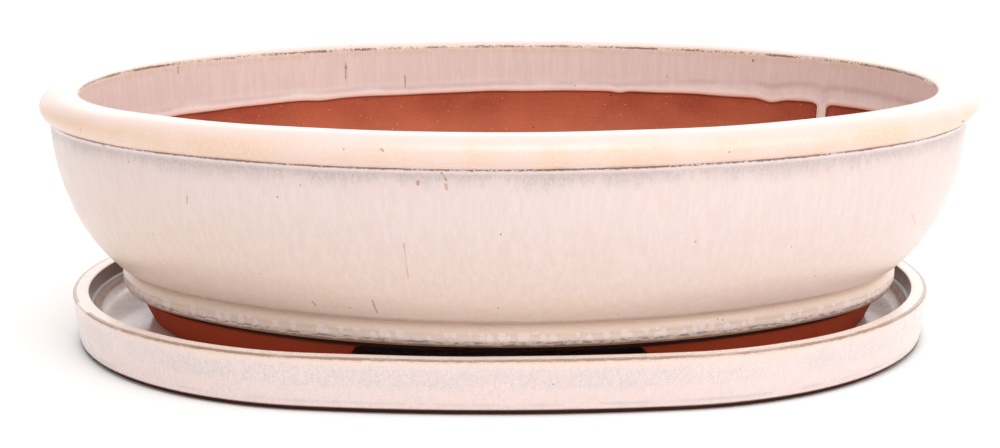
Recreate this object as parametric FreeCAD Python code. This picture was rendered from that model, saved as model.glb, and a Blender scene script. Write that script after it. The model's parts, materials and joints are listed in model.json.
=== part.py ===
import FreeCAD, Part
import math
import os

from FreeCAD import Vector

# An oval glazed stoneware bonsai pot standing in its own drip saucer.
# Millimetres, +Z up, +X along the pot's length. The origin is on the table,
# under the middle of the pot's rim.
#
# Every level line of the pot is one four-arc oval moved in or out by an offset,
# so a section (offset, height) swept round that oval gives walls of even thickness.
# Offset 0 is the oval's own widest line, and negative offsets lie inside it.

# Driving dimensions.
POT_LENGTH = 400.0
POT_WIDTH = 313.0
POT_END_RADIUS = 133.7        # plan radius of the two narrow ends, at the rim
SAUCER_LENGTH = 371.8
SAUCER_WIDTH = 274.4
SAUCER_END_RADIUS = 133.0
SAUCER_SHIFT_X = -3.6         # the saucer stands a little off the pot's middle
SAUCER_TURN = 1.2             # and is turned by this many degrees
GLAZE = 0.8                   # thickness of the fired glaze coat

# Rolled rim, as (offset, height).
RIM_INNER = (-17.0, 106.6)
RIM_EDGE = (-16.6, 107.7)
RIM_TOP = (-15.6, 108.4)
RIM_CREST = (-9.8, 109.8)
RIM_SHOULDER = (-3.8, 108.0)
RIM_BROW = (-1.4, 105.8)
RIM_WIDEST = (0.0, 102.9)
RIM_NOSE = (-1.1, 99.2)
RIM_ARRIS = (-3.6, 97.2)      # sharp lower edge of the roll

# Outer wall and the rounded band at its foot.
WALL_TOP = (-4.5, 95.0)
WALL_TOP_LEAN = 2.0           # degrees from vertical
WALL_MIDDLE = (-12.0, 60.0)
WALL_LOW = (-28.5, 36.0)
BAND_CREASE = (-34.6, 32.4)
BAND_UPPER = (-32.5, 31.1)
BAND_WIDEST = (-31.8, 28.0)
BAND_LOWER = (-32.0, 25.2)
BAND_BOTTOM = (-33.0, 23.4)

# Inside of the pot. The glaze stops partway down, and the clay below it is bare.
INNER_GLAZE_END = (-18.6, 84.0)
INNER_LEAN = 4.0
INNER_MIDDLE = (-23.6, 60.0)
INNER_LOW = (-38.4, 38.4)
FLOOR_EDGE = (-55.6, 32.0)    # the wall's curve runs into the flat floor here
DRAIN_RADIUS = 11.0
DRAIN_SPACING = 150.0

# Foot ring, cut through at the front and the back, which leaves two feet.
FOOT_SEAT = 3.0               # clay that bridges the cut-outs
FOOT_OUTER_TOP = -38.5
FOOT_OUTER_BOTTOM = -44.5
FOOT_THICKNESS = 11.0
FOOT_EDGE = 1.5               # rounding of the edge that stands in the saucer
CUTOUT_TOP_WIDTH = 112.0
CUTOUT_BOTTOM_WIDTH = 119.0
CUTOUT_ROUND = 5.0

# Saucer.
SAUCER_TOP = 22.4
SAUCER_RIM_WIDTH = 6.9
SAUCER_RIM_LEAN = 0.5         # the inner wall slopes by this much from rim to ledge
SAUCER_EDGE = 0.9             # rounding of the rim's two edges
SAUCER_LEDGE_Z = 15.4         # the straight inner wall stops here on a small ledge
SAUCER_LEDGE_WIDTH = 1.2
SAUCER_COVE = 6.4             # radius between the inner wall and the floor
SAUCER_FLOOR_Z = 7.6
SAUCER_WALL_MIDDLE = (-1.0, 12.0)
SAUCER_WALL_BOTTOM = (-2.4, 2.0)
SAUCER_FOOT_INSET = 2.4       # the bare foot stands back under the glazed wall
SAUCER_FLOOR_JOIN = -30.0     # the floor plate meets the swept wall here

CLOSE = 0.01                  # two positions nearer than this are the same


def at(point):
    """A section point (offset, height) in the plane that is swept."""
    return Vector(point[0], 0, point[1])


def line(start, end):
    return Part.makeLine(at(start), at(end))


def arc(start, middle, end):
    return Part.Arc(at(start), at(middle), at(end)).toShape()


def polyline(*points):
    return [line(start, end) for start, end in zip(points, points[1:])]


def tangent_arcs(start, lean, *ends):
    """Arcs through the end points, each leaving in the direction the last one arrived in.

    lean is the first direction, in degrees from straight down towards the pot's inside.
    """
    edges = []
    for end in ends:
        chord_lean = math.degrees(math.atan2(start[0] - end[0], start[1] - end[1]))
        half_turn = chord_lean - lean
        bulge = math.dist(start, end) / 2 * math.tan(math.radians(half_turn / 2))
        middle = ((start[0] + end[0]) / 2 + bulge * math.cos(math.radians(chord_lean)),
                  (start[1] + end[1]) / 2 - bulge * math.sin(math.radians(chord_lean)))
        edges.append(arc(start, middle, end))
        start = end
        lean += 2 * half_turn
    return edges


def face(edges):
    return Part.Face(Part.Wire(edges))


def coat(edges):
    """Section of the glaze: an even strip on the clay side of the glazed outline."""
    return Part.Wire(edges).makeOffset2D(-GLAZE, 0, True, True, True)


class Oval:
    """Four tangent arcs: two round ends of one radius and two flatter sides."""

    def __init__(self, length, width, end_radius, shift_x=0.0, turn=0.0):
        half_width = width / 2
        end_x = length / 2 - end_radius
        side_radius = (end_x ** 2 + half_width ** 2 - end_radius ** 2) / (2 * (half_width - end_radius))
        side_y = side_radius - half_width
        join = math.degrees(math.atan2(side_y, end_x))
        self.placement = FreeCAD.Placement(Vector(shift_x, 0, 0), FreeCAD.Rotation(Vector(0, 0, 1), turn))
        self.arcs = [
            (Vector(end_x, 0, 0), end_radius, -join, join),
            (Vector(0, -side_y, 0), side_radius, join, 180 - join),
            (Vector(-end_x, 0, 0), end_radius, 180 - join, 180 + join),
            (Vector(0, side_y, 0), side_radius, 180 + join, 360 - join),
        ]

    def placed(self, shape):
        shape.Placement = self.placement.multiply(shape.Placement)
        return shape

    def ring(self, section):
        """A section face swept all the way round the oval."""
        sectors = []
        for centre, radius, start, end in self.arcs:
            sector = section.copy()
            sector.translate(centre + Vector(radius, 0, 0))
            sector.rotate(centre, Vector(0, 0, 1), start)
            sectors.append(sector.revolve(centre, Vector(0, 0, 1), end - start))
        return self.placed(sectors[0].multiFuse(sectors[1:]).removeSplitter())

    def plate(self, offset, low, high):
        """A flat oval plate between two heights."""
        edges = []
        for centre, radius, start, end in self.arcs:
            circle = Part.Circle(centre + Vector(0, 0, low), Vector(0, 0, 1), radius + offset)
            edges.append(Part.ArcOfCircle(circle, math.radians(start), math.radians(end)).toShape())
        outline = Part.Face(Part.Wire(edges))
        return self.placed(outline.extrude(Vector(0, 0, high - low)))


def pot_skin():
    """Glazed outline: up the inside, over the rim, down the wall and round the band."""
    rim = [
        line(INNER_GLAZE_END, RIM_INNER),
        arc(RIM_INNER, RIM_EDGE, RIM_TOP),
        arc(RIM_TOP, RIM_CREST, RIM_SHOULDER),
        arc(RIM_SHOULDER, RIM_BROW, RIM_WIDEST),
        arc(RIM_WIDEST, RIM_NOSE, RIM_ARRIS),
        line(RIM_ARRIS, WALL_TOP),
    ]
    wall = tangent_arcs(WALL_TOP, WALL_TOP_LEAN, WALL_MIDDLE, WALL_LOW, BAND_CREASE)
    band = [arc(BAND_CREASE, BAND_UPPER, BAND_WIDEST), arc(BAND_WIDEST, BAND_LOWER, BAND_BOTTOM)]
    return rim + wall + band


def pot_bare_outline():
    """The rest of the wall's section: underside, seat for the feet, joint with the floor, inside."""
    underside = BAND_BOTTOM[1]
    seat = underside - FOOT_SEAT
    below = polyline(
        BAND_BOTTOM,
        (FOOT_OUTER_TOP, underside),
        (FOOT_OUTER_TOP, seat),
        (FLOOR_EDGE[0], seat),
        FLOOR_EDGE,
    )
    inside = tangent_arcs(INNER_GLAZE_END, INNER_LEAN, INNER_MIDDLE, INNER_LOW, FLOOR_EDGE)
    return below + inside[::-1]


def make_wall(oval):
    """The clay wall with its rim and band, and the glaze coat on it."""
    skin = pot_skin()
    glaze_section = coat(skin)
    clay_section = face(skin + pot_bare_outline()).cut(glaze_section).Faces[0]
    return oval.ring(clay_section), oval.ring(glaze_section)


def make_floor(oval):
    """The slab that closes the pot's bottom, with a drain hole towards each end."""
    floor = oval.plate(FLOOR_EDGE[0], BAND_BOTTOM[1], FLOOR_EDGE[1])
    for side in (-1, 1):
        hole = Part.makeCylinder(DRAIN_RADIUS, FLOOR_EDGE[1], Vector(side * DRAIN_SPACING / 2, 0, 0))
        floor = floor.cut(hole)
    return floor


def foot_section():
    """Leaning ring wall that stands on the saucer's floor, its standing edge rounded."""
    top = BAND_BOTTOM[1] - FOOT_SEAT
    outer_top = (FOOT_OUTER_TOP, top)
    inner_top = (FOOT_OUTER_TOP - FOOT_THICKNESS, top)
    inner_bottom = (FOOT_OUTER_BOTTOM - FOOT_THICKNESS, SAUCER_FLOOR_Z)
    lean = (FOOT_OUTER_TOP - FOOT_OUTER_BOTTOM) / (top - SAUCER_FLOOR_Z)
    tuck = FOOT_EDGE * (1 - math.sqrt(0.5))
    edge_start = (FOOT_OUTER_BOTTOM + FOOT_EDGE * lean, SAUCER_FLOOR_Z + FOOT_EDGE)
    edge_middle = (FOOT_OUTER_BOTTOM - tuck, SAUCER_FLOOR_Z + tuck)
    edge_end = (FOOT_OUTER_BOTTOM - FOOT_EDGE, SAUCER_FLOOR_Z)
    edges = [line(outer_top, edge_start), arc(edge_start, edge_middle, edge_end)]
    edges += polyline(edge_end, inner_bottom, inner_top, outer_top)
    return face(edges)


def cutout():
    """Prism along Y that opens the foot ring at the front and back, wider at the bottom."""
    top = BAND_BOTTOM[1] - FOOT_SEAT
    half_top = CUTOUT_TOP_WIDTH / 2
    half_bottom = CUTOUT_BOTTOM_WIDTH / 2
    corners = [
        (-half_top, top),
        (half_top, top),
        (half_bottom, SAUCER_FLOOR_Z),
        (-half_bottom, SAUCER_FLOOR_Z),
        (-half_top, top),
    ]
    prism = face(polyline(*corners)).extrude(Vector(0, POT_WIDTH, 0))
    prism.translate(Vector(0, -POT_WIDTH / 2, 0))
    top_edges = [edge for edge in prism.Edges
                 if abs(edge.CenterOfMass.y) < CLOSE and abs(edge.CenterOfMass.z - top) < CLOSE]
    return prism.makeFillet(CUTOUT_ROUND, top_edges)


def make_feet(oval):
    """The two C-shaped feet, left and right."""
    feet = oval.ring(foot_section()).cut(cutout()).Solids
    return sorted(feet, key=lambda foot: foot.CenterOfMass.x)


def saucer_skin():
    """Glazed outline: out over the floor, up the cove and wall, over the rim and down."""
    rim_inner = -SAUCER_RIM_WIDTH
    wall_inner = rim_inner - SAUCER_RIM_LEAN
    cove_x = wall_inner - SAUCER_LEDGE_WIDTH
    cove_z = SAUCER_FLOOR_Z + SAUCER_COVE
    swing = SAUCER_COVE * math.sqrt(0.5)
    inside = [
        line((SAUCER_FLOOR_JOIN, SAUCER_FLOOR_Z), (cove_x - SAUCER_COVE, SAUCER_FLOOR_Z)),
        arc((cove_x - SAUCER_COVE, SAUCER_FLOOR_Z),
            (cove_x - SAUCER_COVE + swing, cove_z - swing), (cove_x, cove_z)),
    ]
    inside += polyline(
        (cove_x, cove_z),
        (cove_x, SAUCER_LEDGE_Z),
        (wall_inner, SAUCER_LEDGE_Z),
        (rim_inner, SAUCER_TOP - SAUCER_EDGE),
    )
    tuck = SAUCER_EDGE * (1 - math.sqrt(0.5))
    rim = [
        arc((rim_inner, SAUCER_TOP - SAUCER_EDGE), (rim_inner + tuck, SAUCER_TOP - tuck),
            (rim_inner + SAUCER_EDGE, SAUCER_TOP)),
        line((rim_inner + SAUCER_EDGE, SAUCER_TOP), (-SAUCER_EDGE, SAUCER_TOP)),
        arc((-SAUCER_EDGE, SAUCER_TOP), (-tuck, SAUCER_TOP - tuck), (0, SAUCER_TOP - SAUCER_EDGE)),
    ]
    outside = [arc((0, SAUCER_TOP - SAUCER_EDGE), SAUCER_WALL_MIDDLE, SAUCER_WALL_BOTTOM)]
    return inside + rim + outside


def make_saucer(oval):
    """The clay saucer with its bare flat foot, and the glaze over the rest."""
    skin = saucer_skin()
    glaze_section = coat(skin)
    foot_x = SAUCER_WALL_BOTTOM[0] - SAUCER_FOOT_INSET
    closing = polyline(
        SAUCER_WALL_BOTTOM,
        (foot_x, SAUCER_WALL_BOTTOM[1]),
        (foot_x, 0),
        (SAUCER_FLOOR_JOIN, 0),
        (SAUCER_FLOOR_JOIN, SAUCER_FLOOR_Z),
    )
    clay_section = face(skin + closing).cut(glaze_section).Faces[0]
    clay_top = SAUCER_FLOOR_Z - GLAZE
    body = oval.ring(clay_section).fuse(oval.plate(SAUCER_FLOOR_JOIN, 0, clay_top))
    glaze = oval.ring(glaze_section).fuse(oval.plate(SAUCER_FLOOR_JOIN, clay_top, SAUCER_FLOOR_Z))
    return body.removeSplitter(), glaze.removeSplitter()


def main():
    pot_oval = Oval(POT_LENGTH, POT_WIDTH, POT_END_RADIUS)
    saucer_oval = Oval(SAUCER_LENGTH, SAUCER_WIDTH, SAUCER_END_RADIUS, SAUCER_SHIFT_X, SAUCER_TURN)
    nodes = {}
    nodes["pot_wall"], nodes["pot_glaze"] = make_wall(pot_oval)
    nodes["pot_floor"] = make_floor(pot_oval)
    nodes["foot_left"], nodes["foot_right"] = make_feet(pot_oval)
    nodes["saucer_body"], nodes["saucer_glaze"] = make_saucer(saucer_oval)
    os.makedirs("parts", exist_ok=True)
    for name, shape in nodes.items():
        shape.exportStep("parts/" + name + ".step")
        box = shape.BoundBox
        print(name, "solids", len(shape.Solids), "faces", len(shape.Faces), "valid", shape.isValid(),
              "volume", round(shape.Volume), "box", [round(v, 1) for v in (
                  box.XMin, box.YMin, box.ZMin, box.XMax, box.YMax, box.ZMax)])


main()
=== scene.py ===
import json
import math
from types import SimpleNamespace

import bmesh
import bpy
import numpy as np
from mathutils import Euler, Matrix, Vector
from mathutils.kdtree import KDTree

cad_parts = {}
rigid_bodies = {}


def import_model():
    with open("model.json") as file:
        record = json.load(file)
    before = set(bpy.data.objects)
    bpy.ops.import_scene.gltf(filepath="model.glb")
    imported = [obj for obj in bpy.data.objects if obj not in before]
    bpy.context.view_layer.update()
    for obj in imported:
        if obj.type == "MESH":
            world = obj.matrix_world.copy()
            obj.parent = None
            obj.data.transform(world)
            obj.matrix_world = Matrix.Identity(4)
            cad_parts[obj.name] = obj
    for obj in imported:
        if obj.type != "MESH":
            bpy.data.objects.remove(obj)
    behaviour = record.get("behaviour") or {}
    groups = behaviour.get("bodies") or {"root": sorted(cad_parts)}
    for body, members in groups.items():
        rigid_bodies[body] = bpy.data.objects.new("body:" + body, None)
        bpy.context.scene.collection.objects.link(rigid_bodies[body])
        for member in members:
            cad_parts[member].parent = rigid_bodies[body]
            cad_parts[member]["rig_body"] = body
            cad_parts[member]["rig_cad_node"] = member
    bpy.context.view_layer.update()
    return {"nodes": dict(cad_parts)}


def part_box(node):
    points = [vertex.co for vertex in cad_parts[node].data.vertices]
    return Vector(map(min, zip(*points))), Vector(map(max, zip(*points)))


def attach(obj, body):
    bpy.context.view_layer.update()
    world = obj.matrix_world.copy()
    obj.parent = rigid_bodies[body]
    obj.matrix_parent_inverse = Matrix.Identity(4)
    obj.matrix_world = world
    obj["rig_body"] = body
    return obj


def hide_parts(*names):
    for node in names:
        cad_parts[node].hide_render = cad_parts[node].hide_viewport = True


# Looks for an oval glazed bonsai pot that stands in its own drip saucer.
#
# The shapes are worked out in millimetres and scaled to metres when a mesh is made.
# A section is a list of points (offset, height) that is swept round an oval: offset 0 is
# the oval's widest line, and negative offsets lie inside it. The sections repeat the CAD.

MM = 0.001
rng = np.random.default_rng(41)

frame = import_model()

# Ovals. Their length and width come from the frame.
POT_END_RADIUS = 133.7
SAUCER_END_RADIUS = 133.0
SAUCER_SHIFT_X = -3.6
SAUCER_TURN = 1.2
SAUCER_LENGTH = 371.8
SAUCER_WIDTH = 274.4

# Rolled rim.
RIM_INNER = (-17.0, 106.6)
RIM_EDGE = (-16.6, 107.7)
RIM_TOP = (-15.6, 108.4)
RIM_CREST = (-9.8, 109.8)
RIM_SHOULDER = (-3.8, 108.0)
RIM_BROW = (-1.4, 105.8)
RIM_WIDEST = (0.0, 102.9)
RIM_NOSE = (-1.1, 99.2)
RIM_ARRIS = (-3.6, 97.2)

# Outer wall and the rounded band at its foot.
WALL_TOP = (-4.5, 95.0)
WALL_TOP_LEAN = 2.0
WALL_MIDDLE = (-12.0, 60.0)
WALL_LOW = (-28.5, 36.0)
BAND_CREASE = (-34.6, 32.4)
BAND_UPPER = (-32.5, 31.1)
BAND_WIDEST = (-31.8, 28.0)
BAND_LOWER = (-32.0, 25.2)
BAND_BOTTOM = (-33.0, 23.4)

# Inside of the pot.
INNER_GLAZE_END = (-18.6, 84.0)
INNER_LEAN = 4.0
INNER_MIDDLE = (-23.6, 60.0)
INNER_LOW = (-38.4, 38.4)
FLOOR_EDGE = (-55.6, 32.0)
FOOT_OUTER_TOP = -38.5
SEAT_Z = 20.4
DRAIN_RADIUS = 11.0
DRAIN_X = 75.0
DRAIN_ROUND = 1.6
FOOT_GRAIN = 0.8                # size of the mesh that softens the feet's edges

# Saucer.
SAUCER_TOP = 22.4
SAUCER_RIM_WIDTH = 6.9
SAUCER_RIM_LEAN = 0.5
SAUCER_EDGE = 0.9
SAUCER_LEDGE_Z = 15.4
SAUCER_LEDGE_WIDTH = 1.2
SAUCER_COVE = 6.4
SAUCER_FLOOR_Z = 7.6
SAUCER_WALL_MIDDLE = (-1.0, 12.0)
SAUCER_WALL_BOTTOM = (-2.4, 2.0)
SAUCER_TUCK = 0.3                # keeps the rippled coat within the saucer's outline

# Glaze.
GLAZE = 0.8                     # thickness over most of the surface
GLAZE_SUNK = 0.15               # how far its hidden back reaches into the clay
SAUCER_COAT = 0.7               # the saucer's coat, thinner than the clay's recess for it
FAR = 99.0                      # stands for a distance from an edge that lies on another face
EDGE_ROUND = 1.3                # the coat thins out to nothing over this distance from its edge
BEAD_HEIGHT = 0.55              # thick roll that the running glaze left along its lower edge
BEAD_AT = 2.3
BEAD_SPREAD = 2.6

# Where the glaze ends inside the pot: a height that climbs towards the right, with sags.
EDGE_HEIGHT = 83.6
EDGE_CLIMB = 1.9                # rise from the middle to a place this far along the pot
EDGE_CLIMB_REACH = 170.0
EDGE_RIPPLE = 0.35
SAGS = (                        # point of the wall, depth and half-width of each sag
    ((124.8, 99.6), 1.6, 6.0),
    ((52.1, 131.4), 0.8, 4.0),
    ((-96.2, 115.9), 0.5, 7.0),
    ((-120.0, -85.0), 1.1, 8.0),
    ((30.0, -137.0), 0.9, 9.0),
)
DRIPS = (                       # point of the wall, half-width and height of the tip of each run
    ((146.6, 81.4), 2.9, 63.0),
)
DRIP_FLARE = 2.4                # how far the edge is drawn down beside a run
DRIP_FLARE_REACH = 1.6
DRIP_WAIST = 0.12               # share by which a run narrows under its flare

# Unevenness of the glaze over the two rims, and rows of the coats' meshes.
ROLL_SAG = 0.15
ROLL_SWELL = 0.2
SAUCER_SAG = 0.12
SAUCER_SWELL = 0.1
INNER_ROWS = 34
ROW_CROWDING = 1.6              # power that crowds the rows towards the glaze's edge
OUTER_BACK_STEP = 4             # the hidden back has one row for this many rows of the skin
INNER_BACK_STEP = 6
SAUCER_BACK_STEP = 3
SAUCER_FLOOR_RINGS = 14


# ---------------------------------------------------------------- section curves

def line(start, end, step):
    count = max(1, math.ceil(math.dist(start, end) / step))
    return np.linspace(start, end, count + 1)


def arc(start, middle, end, step):
    """Points of the circular arc through three points."""
    (ax, ay), (bx, by), (cx, cy) = start, middle, end
    d = 2 * (ax * (by - cy) + bx * (cy - ay) + cx * (ay - by))
    a2, b2, c2 = ax * ax + ay * ay, bx * bx + by * by, cx * cx + cy * cy
    ux = (a2 * (by - cy) + b2 * (cy - ay) + c2 * (ay - by)) / d
    uy = (a2 * (cx - bx) + b2 * (ax - cx) + c2 * (bx - ax)) / d
    radius = math.dist(start, (ux, uy))
    turns = np.unwrap([math.atan2(y - uy, x - ux) for x, y in (start, middle, end)])
    count = max(2, math.ceil(abs(turns[2] - turns[0]) * radius / step))
    angles = np.linspace(turns[0], turns[2], count + 1)
    return np.column_stack([ux + radius * np.cos(angles), uy + radius * np.sin(angles)])


def tangent_arcs(start, lean, ends, step):
    """Arcs through the end points, each leaving in the direction the last one arrived in."""
    pieces = []
    for end in ends:
        chord_lean = math.degrees(math.atan2(start[0] - end[0], start[1] - end[1]))
        half_turn = chord_lean - lean
        bulge = math.dist(start, end) / 2 * math.tan(math.radians(half_turn / 2))
        middle = ((start[0] + end[0]) / 2 + bulge * math.cos(math.radians(chord_lean)),
                  (start[1] + end[1]) / 2 - bulge * math.sin(math.radians(chord_lean)))
        pieces.append(arc(start, middle, end, step))
        start = end
        lean += 2 * half_turn
    return joined(*pieces)


def joined(*pieces):
    """One list of points, with the point that two pieces share kept once."""
    return np.vstack([pieces[0]] + [piece[1:] for piece in pieces[1:]])


def distance_along(points):
    steps = np.hypot(*np.diff(points, axis=0).T)
    return np.concatenate([[0.0], np.cumsum(steps)])


def left_normals(points):
    tangent = np.gradient(points, axis=0)
    tangent /= np.hypot(tangent[:, 0], tangent[:, 1])[:, None]
    return np.column_stack([-tangent[:, 1], tangent[:, 0]])


def smooth_step(value, low, high):
    t = np.clip((value - low) / (high - low), 0, 1)
    return t * t * (3 - 2 * t)


# ---------------------------------------------------------------- ovals and sweeps

class Oval:
    """Four tangent arcs: two round ends of one radius and two flatter sides."""

    def __init__(self, length, width, end_radius, shift_x=0.0, turn=0.0):
        half_width = width / 2
        end_x = length / 2 - end_radius
        side_radius = (end_x ** 2 + half_width ** 2 - end_radius ** 2) / (2 * (half_width - end_radius))
        side_y = side_radius - half_width
        join = math.atan2(side_y, end_x)
        self.arcs = [
            (end_x, 0.0, end_radius, -join, join),
            (0.0, -side_y, side_radius, join, math.pi - join),
            (-end_x, 0.0, end_radius, math.pi - join, math.pi + join),
            (0.0, side_y, side_radius, math.pi + join, 2 * math.pi - join),
        ]
        self.ends = np.cumsum([radius * (stop - start) for _, _, radius, start, stop in self.arcs])
        self.perimeter = self.ends[-1]
        self.shift_x = shift_x
        self.turn = math.radians(turn)

    def line_at(self, runs):
        """Points of the widest line at these distances round it, and the outward directions."""
        points = np.empty((len(runs), 2))
        outward = np.empty((len(runs), 2))
        begin = 0.0
        for (x, y, radius, start, _), end in zip(self.arcs, self.ends):
            here = (runs >= begin) & (runs <= end)
            angle = start + (runs[here] - begin) / radius
            outward[here] = np.column_stack([np.cos(angle), np.sin(angle)])
            points[here] = np.array([x, y]) + radius * outward[here]
            begin = end
        cos, sin = math.cos(self.turn), math.sin(self.turn)
        rotation = np.array([[cos, sin], [-sin, cos]])
        return points @ rotation + np.array([self.shift_x, 0.0]), outward @ rotation

    def nearest(self, point):
        """The distance round the oval at which a point lies closest."""
        runs = np.linspace(0, self.perimeter, 8000, endpoint=False)
        points, outward = self.line_at(runs)
        offset = np.array(point) - points
        across = np.abs(offset[:, 0] * outward[:, 1] - offset[:, 1] * outward[:, 0])
        return runs[np.argmin(across + 0.01 * np.hypot(*offset.T))]

    def away(self, runs, run):
        """Signed distance round the oval from one place, the short way."""
        return (runs - run + self.perimeter / 2) % self.perimeter - self.perimeter / 2

    def ripple(self, runs, waves):
        """A smooth random curve round the oval, between -1 and 1."""
        total = np.zeros(len(runs))
        for wave in waves:
            total += np.sin(2 * math.pi * wave * runs / self.perimeter + rng.uniform(0, 2 * math.pi))
        return total / len(waves)


def columns(oval, spacing, fine_places=(), fine_spacing=0.25, fine_reach=6.0):
    """Distances round the oval, closer together near the fine places."""
    runs = np.linspace(0, oval.perimeter, math.ceil(oval.perimeter / spacing), endpoint=False)
    for place in fine_places:
        runs = runs[np.abs(oval.away(runs, place)) > fine_reach]
        fine = place + np.arange(-fine_reach, fine_reach, fine_spacing)
        runs = np.concatenate([runs, fine % oval.perimeter])
    return np.sort(runs)


def mesh_object(name, vertices, faces, values=None):
    """A smooth mesh in metres from millimetre vertices. values are named numbers, one per vertex."""
    mesh = bpy.data.meshes.new(name)
    mesh.from_pydata((vertices * MM).tolist(), [], faces)
    mesh.polygons.foreach_set("use_smooth", [True] * len(mesh.polygons))
    for key, numbers in (values or {}).items():
        attribute = mesh.attributes.new(key, "FLOAT", "POINT")
        attribute.data.foreach_set("value", np.asarray(numbers, np.float32).ravel())
    mesh.update()
    obj = bpy.data.objects.new(name, mesh)
    bpy.context.scene.collection.objects.link(obj)
    return obj


def ring_faces(rows, cols, closed_section):
    """Quads of a grid that closes round its columns, and round its rows if the section is a loop."""
    row = np.arange(rows if closed_section else rows - 1)[:, None]
    col = np.arange(cols)[None, :]
    next_row = (row + 1) % rows
    next_col = (col + 1) % cols
    quads = np.stack([row * cols + col, next_row * cols + col,
                      next_row * cols + next_col, row * cols + next_col], axis=-1)
    return quads.reshape(-1, 4).tolist()


def every_column(values, runs):
    """A column of values, repeated for each place round the oval."""
    return np.repeat(values, len(runs), axis=1)


def swept(oval, runs, offsets, heights):
    """Vertices of a section that may differ from column to column: arrays of rows by columns."""
    points, outward = oval.line_at(runs)
    x = points[:, 0] + outward[:, 0] * offsets
    y = points[:, 1] + outward[:, 1] * offsets
    return np.stack([x, y, heights], axis=-1).reshape(-1, 3)


# ---------------------------------------------------------------- pot

def inner_curve(step):
    """Inside of the pot from the rim's inner edge down to the floor."""
    return joined(line(RIM_INNER, INNER_GLAZE_END, step),
                  tangent_arcs(INNER_GLAZE_END, INNER_LEAN, [INNER_MIDDLE, INNER_LOW, FLOOR_EDGE], step))


def outer_curve(fine, coarse):
    """Glazed outline from the rim's inner edge over the roll and down to the band's bottom."""
    return joined(
        arc(RIM_INNER, RIM_EDGE, RIM_TOP, fine),
        arc(RIM_TOP, RIM_CREST, RIM_SHOULDER, coarse),
        arc(RIM_SHOULDER, RIM_BROW, RIM_WIDEST, coarse),
        arc(RIM_WIDEST, RIM_NOSE, RIM_ARRIS, fine),
        line(RIM_ARRIS, WALL_TOP, fine),
        tangent_arcs(WALL_TOP, WALL_TOP_LEAN, [WALL_MIDDLE, WALL_LOW, BAND_CREASE], coarse),
        arc(BAND_CREASE, BAND_UPPER, BAND_WIDEST, fine),
        arc(BAND_WIDEST, BAND_LOWER, BAND_BOTTOM, fine),
    )


def glaze_edge(oval, runs):
    """Height at which the glaze ends inside the pot, at each column."""
    points, _ = oval.line_at(runs)
    height = EDGE_HEIGHT + EDGE_CLIMB * points[:, 0] / EDGE_CLIMB_REACH
    height += EDGE_RIPPLE * oval.ripple(runs, (7, 12, 19, 31))
    for point, depth, half_width in SAGS:
        away = oval.away(runs, oval.nearest(point))
        height -= depth * np.exp(-(away / half_width) ** 2)
    for point, half_width, tip in DRIPS:
        away = np.abs(oval.away(runs, oval.nearest(point)))
        height -= DRIP_FLARE * np.exp(-np.maximum(away - half_width, 0) / DRIP_FLARE_REACH)
        waist = half_width * (1 - DRIP_WAIST * np.sin(away))
        tongue = tip + half_width - np.sqrt(np.maximum(waist ** 2 - away ** 2, 0))
        height = np.where(away < waist, tongue, height)
    return height


def edge_distances(runs, edge, heights):
    """Distance of each inner-wall point from the glaze's edge line, steep sides of runs included."""
    tree_points = []
    for i in range(len(runs) - 1):
        steps = max(1, math.ceil(abs(edge[i + 1] - edge[i]) / 0.3))
        for t in np.arange(steps) / steps:
            run = runs[i] + (runs[i + 1] - runs[i]) * t
            tree_points.append((run, edge[i] + (edge[i + 1] - edge[i]) * t, 0))
    tree = KDTree(len(tree_points))
    for i, point in enumerate(tree_points):
        tree.insert(point, i)
    tree.balance()
    distances = np.empty(heights.shape)
    for row in range(heights.shape[0]):
        for col in range(heights.shape[1]):
            distances[row, col] = tree.find((runs[col], heights[row, col], 0))[2]
    return distances


def coat_thickness(distance):
    """The coat rises steeply from its edge to a bead, and settles to its usual thickness."""
    rise = np.sqrt(1 - (1 - np.clip(distance / EDGE_ROUND, 0, 1)) ** 2)
    return rise * (GLAZE + BEAD_HEIGHT * np.exp(-((distance - BEAD_AT) / BEAD_SPREAD) ** 2))


def inner_rows(oval, runs):
    """The coat inside the pot, in rows from its lower edge up to the rim.

    Returns the clay's offsets, the coat's offsets, the heights and the distances from the edge.
    """
    edge = glaze_edge(oval, runs)
    share = np.linspace(0, 1, INNER_ROWS) ** ROW_CROWDING
    heights = edge + (RIM_INNER[1] - edge) * share[:, None]
    curve = inner_curve(0.5)[::-1]
    clay = np.interp(heights, curve[:, 1], curve[:, 0])
    distance = edge_distances(runs, edge, heights)
    skin = clay + GLAZE - coat_thickness(distance)
    skin[0] += GLAZE_SUNK
    return clay, skin, heights, distance


def pot_glaze_values(inner_z, distance, outer, hidden, cols):
    """Distances that the glaze's colours follow. hidden is the number of rows on the coat's back."""
    run_out = distance_along(np.vstack([[RIM_INNER], outer]))[1:]
    arris_at = run_out[np.argmin(np.hypot(*(outer - RIM_ARRIS).T))]
    over_rim = np.repeat(run_out[:, None], cols, axis=1)
    hidden_far = np.full((hidden, cols), FAR)
    return {
        # Distance from the glaze's lower edge inside the pot.
        "edge": np.vstack([distance, np.full(over_rim.shape, FAR), hidden_far]),
        # Distance from the rim's inner arris: positive down the inside, negative over the rim.
        "lip": np.vstack([RIM_INNER[1] - inner_z, -over_rim, hidden_far]),
        # Distance below the roll's lower arris, negative above it.
        "arris": np.vstack([np.full(inner_z.shape, -FAR), over_rim - arris_at, -hidden_far]),
    }


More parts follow.
